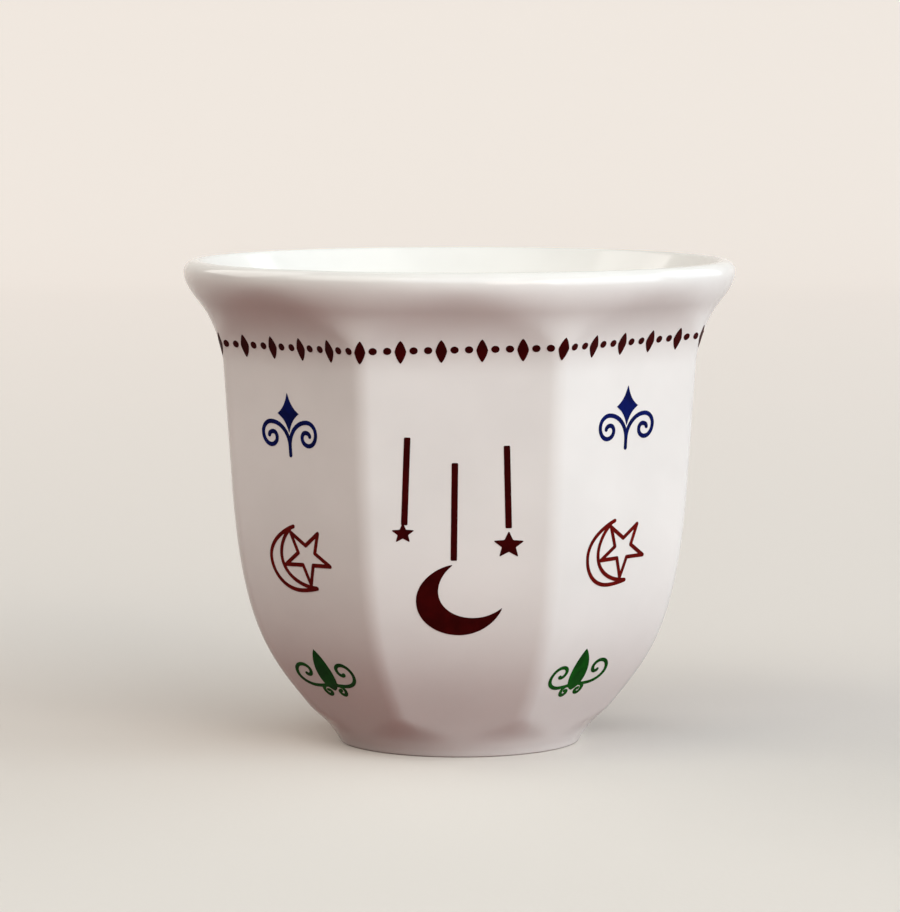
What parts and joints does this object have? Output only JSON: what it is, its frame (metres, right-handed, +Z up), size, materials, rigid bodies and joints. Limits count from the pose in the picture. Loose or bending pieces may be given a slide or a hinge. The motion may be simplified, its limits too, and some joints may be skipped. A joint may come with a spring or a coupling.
{
  "type": "arabic coffee cup",
  "caption": "Small porcelain coffee cup without a handle, with an eight-sided bell body, a flared round lip, a low round foot and printed crescents, stars and scrolls.",
  "frame": {"origin": "middle of the bearing face of the foot, where the cup stands", "axes": "+Z up along the cup's own axis; the side with the hanging moon and stars faces -Y, and +X is to its right as the picture shows it"},
  "size_m": [0.064, 0.064, 0.0563],
  "materials": {
    "glazed_porcelain": "glossy clear glaze over white porcelain",
    "maroon_print": "fired ceramic transfer, satin",
    "blue_print": "fired ceramic transfer, satin",
    "red_print": "fired ceramic transfer, satin",
    "green_print": "fired ceramic transfer, satin"
  },
  "bodies": {
    "root": {"cup_body": "glazed_porcelain", "border_front": "maroon_print", "border_front_right": "maroon_print", "border_right": "maroon_print", "border_back_right": "maroon_print", "border_back": "maroon_print", "border_back_left": "maroon_print", "border_left": "maroon_print", "border_front_left": "maroon_print", "moon_and_stars_front": "maroon_print", "moon_and_stars_right": "maroon_print", "moon_and_stars_back": "maroon_print", "moon_and_stars_left": "maroon_print", "fleuron_front_right": "blue_print", "fleuron_back_right": "blue_print", "fleuron_back_left": "blue_print", "fleuron_front_left": "blue_print", "crescent_front_right": "red_print", "crescent_back_right": "red_print", "crescent_back_left": "red_print", "crescent_front_left": "red_print", "leaf_front_right": "green_print", "leaf_back_right": "green_print", "leaf_back_left": "green_print", "leaf_front_left": "green_print"}
  },
  "joints": []
}
